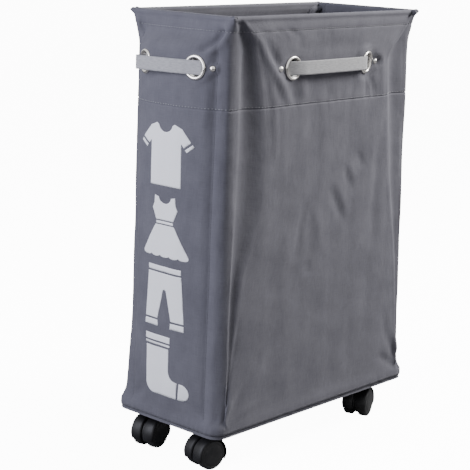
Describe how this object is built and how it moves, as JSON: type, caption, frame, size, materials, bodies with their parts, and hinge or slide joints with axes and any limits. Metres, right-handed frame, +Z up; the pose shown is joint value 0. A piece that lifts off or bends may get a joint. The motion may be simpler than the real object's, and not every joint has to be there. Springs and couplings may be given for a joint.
{
  "type": "laundry sorter on castors",
  "caption": "Slim cloth laundry sorter: open-topped bag on a stiff base with a wire rim, corner rods, webbing handles in steel eyelets and swivel castors.",
  "frame": {"origin": "on the floor under the middle of the bag", "axes": "+Z up, +X along the wide sides, -Y out of the front wide side, -X out of the printed narrow side"},
  "size_m": [0.4416, 0.1986, 0.5835],
  "materials": {
    "bag_cloth": "plain-weave coated polyester, matt",
    "facing_cloth": "coated inner side of the cloth, matt",
    "webbing": "woven webbing, slight sheen",
    "bright_steel": "nickel plated",
    "rod_aluminium": "satin",
    "board": "fibreboard",
    "castor_plastic": "moulded, slight sheen",
    "wheel_plastic": "moulded, satin",
    "plate_steel": "zinc plated"
  },
  "bodies": {
    "bag": {"bottom_cover": "bag_cloth", "base_board": "board", "front_panel": "bag_cloth", "right_panel": "bag_cloth", "back_panel": "bag_cloth", "left_panel": "bag_cloth", "top_facing": "facing_cloth", "top_hem": "bag_cloth", "rim_wire": "plate_steel", "front_left_sleeve": "facing_cloth", "front_right_sleeve": "facing_cloth", "back_left_sleeve": "facing_cloth", "back_right_sleeve": "facing_cloth", "front_eyelet_left": "bright_steel", "front_rivet_left": "bright_steel", "front_eyelet_right": "bright_steel", "front_rivet_right": "bright_steel", "right_eyelet_left": "bright_steel", "right_rivet_left": "bright_steel", "right_eyelet_right": "bright_steel", "right_rivet_right": "bright_steel", "back_eyelet_left": "bright_steel", "back_rivet_left": "bright_steel", "back_eyelet_right": "bright_steel", "back_rivet_right": "bright_steel", "left_eyelet_left": "bright_steel", "left_rivet_left": "bright_steel", "left_eyelet_right": "bright_steel", "left_rivet_right": "bright_steel", "front_left_castor_plate": "plate_steel", "front_right_castor_plate": "plate_steel", "back_left_castor_plate": "plate_steel", "back_right_castor_plate": "plate_steel"},
    "front_handle": {"front_strap": "webbing"},
    "right_handle": {"right_strap": "webbing"},
    "back_handle": {"back_strap": "webbing"},
    "left_handle": {"left_strap": "webbing"},
    "front_left_rod": {"front_left_rod": "rod_aluminium"},
    "front_right_rod": {"front_right_rod": "rod_aluminium"},
    "back_left_rod": {"back_left_rod": "rod_aluminium"},
    "back_right_rod": {"back_right_rod": "rod_aluminium"},
    "front_left_castor": {"front_left_castor_hood": "castor_plastic", "front_left_castor_axle": "plate_steel"},
    "front_left_wheel_inner": {"front_left_wheel_inner": "wheel_plastic"},
    "front_left_wheel_outer": {"front_left_wheel_outer": "wheel_plastic"},
    "front_right_castor": {"front_right_castor_hood": "castor_plastic", "front_right_castor_axle": "plate_steel"},
    "front_right_wheel_inner": {"front_right_wheel_inner": "wheel_plastic"},
    "front_right_wheel_outer": {"front_right_wheel_outer": "wheel_plastic"},
    "back_left_castor": {"back_left_castor_hood": "castor_plastic", "back_left_castor_axle": "plate_steel"},
    "back_left_wheel_inner": {"back_left_wheel_inner": "wheel_plastic"},
    "back_left_wheel_outer": {"back_left_wheel_outer": "wheel_plastic"},
    "back_right_castor": {"back_right_castor_hood": "castor_plastic", "back_right_castor_axle": "plate_steel"},
    "back_right_wheel_inner": {"back_right_wheel_inner": "wheel_plastic"},
    "back_right_wheel_outer": {"back_right_wheel_outer": "wheel_plastic"}
  },
  "joints": [
    {"name": "front_handle_swing", "type": "hinge", "parent": "bag", "child": "front_handle", "pos_m": [0, -0.09, 0.5165], "axis": [-1, 0, 0], "range_deg": [-20, 20]},
    {"name": "right_handle_swing", "type": "hinge", "parent": "bag", "child": "right_handle", "pos_m": [0.204, 0, 0.52], "axis": [0, -1, 0], "range_deg": [-20, 20]},
    {"name": "back_handle_swing", "type": "hinge", "parent": "bag", "child": "back_handle", "pos_m": [0, 0.09, 0.5165], "axis": [1, 0, 0], "range_deg": [-20, 20]},
    {"name": "left_handle_swing", "type": "hinge", "parent": "bag", "child": "left_handle", "pos_m": [-0.204, 0, 0.52], "axis": [0, 1, 0], "range_deg": [-20, 20]},
    {"name": "front_left_rod_lift", "type": "slide", "parent": "bag", "child": "front_left_rod", "axis": [0.0514, 0.021, 0.9985], "range_m": [0, 0.485]},
    {"name": "front_right_rod_lift", "type": "slide", "parent": "bag", "child": "front_right_rod", "axis": [-0.0514, 0.021, 0.9985], "range_m": [0, 0.485]},
    {"name": "back_left_rod_lift", "type": "slide", "parent": "bag", "child": "back_left_rod", "axis": [0.0514, -0.021, 0.9985], "range_m": [0, 0.485]},
    {"name": "back_right_rod_lift", "type": "slide", "parent": "bag", "child": "back_right_rod", "axis": [-0.0514, -0.021, 0.9985], "range_m": [0, 0.485]},
    {"name": "front_left_swivel", "type": "hinge", "parent": "bag", "child": "front_left_castor", "pos_m": [-0.154, -0.055, 0.04], "axis": [0, 0, 1], "continuous": true},
    {"name": "front_left_wheel_inner_spin", "type": "hinge", "parent": "front_left_castor", "child": "front_left_wheel_inner", "pos_m": [-0.17579, -0.05194, 0.02], "axis": [-0.1392, -0.9903, 0], "continuous": true},
    {"name": "front_left_wheel_outer_spin", "type": "hinge", "parent": "front_left_castor", "child": "front_left_wheel_outer", "pos_m": [-0.17579, -0.05194, 0.02], "axis": [-0.1392, -0.9903, 0], "continuous": true},
    {"name": "front_right_swivel", "type": "hinge", "parent": "bag", "child": "front_right_castor", "pos_m": [0.154, -0.055, 0.04], "axis": [0, 0, 1], "continuous": true},
    {"name": "front_right_wheel_inner_spin", "type": "hinge", "parent": "front_right_castor", "child": "front_right_wheel_inner", "pos_m": [0.13333, -0.06252, 0.02], "axis": [0.342, -0.9397, 0], "continuous": true},
    {"name": "front_right_wheel_outer_spin", "type": "hinge", "parent": "front_right_castor", "child": "front_right_wheel_outer", "pos_m": [0.13333, -0.06252, 0.02], "axis": [0.342, -0.9397, 0], "continuous": true},
    {"name": "back_left_swivel", "type": "hinge", "parent": "bag", "child": "back_left_castor", "pos_m": [-0.154, 0.055, 0.04], "axis": [0, 0, 1], "continuous": true},
    {"name": "back_left_wheel_inner_spin", "type": "hinge", "parent": "back_left_castor", "child": "back_left_wheel_inner", "pos_m": [-0.17552, 0.05043, 0.02], "axis": [0.2079, -0.9781, 0], "continuous": true},
    {"name": "back_left_wheel_outer_spin", "type": "hinge", "parent": "back_left_castor", "child": "back_left_wheel_outer", "pos_m": [-0.17552, 0.05043, 0.02], "axis": [0.2079, -0.9781, 0], "continuous": true},
    {"name": "back_right_swivel", "type": "hinge", "parent": "bag", "child": "back_right_castor", "pos_m": [0.154, 0.055, 0.04], "axis": [0, 0, 1], "continuous": true},
    {"name": "back_right_wheel_inner_spin", "type": "hinge", "parent": "back_right_castor", "child": "back_right_wheel_inner", "pos_m": [0.13205, 0.05654, 0.02], "axis": [-0.0698, -0.9976, 0], "continuous": true},
    {"name": "back_right_wheel_outer_spin", "type": "hinge", "parent": "back_right_castor", "child": "back_right_wheel_outer", "pos_m": [0.13205, 0.05654, 0.02], "axis": [-0.0698, -0.9976, 0], "continuous": true}
  ]
}
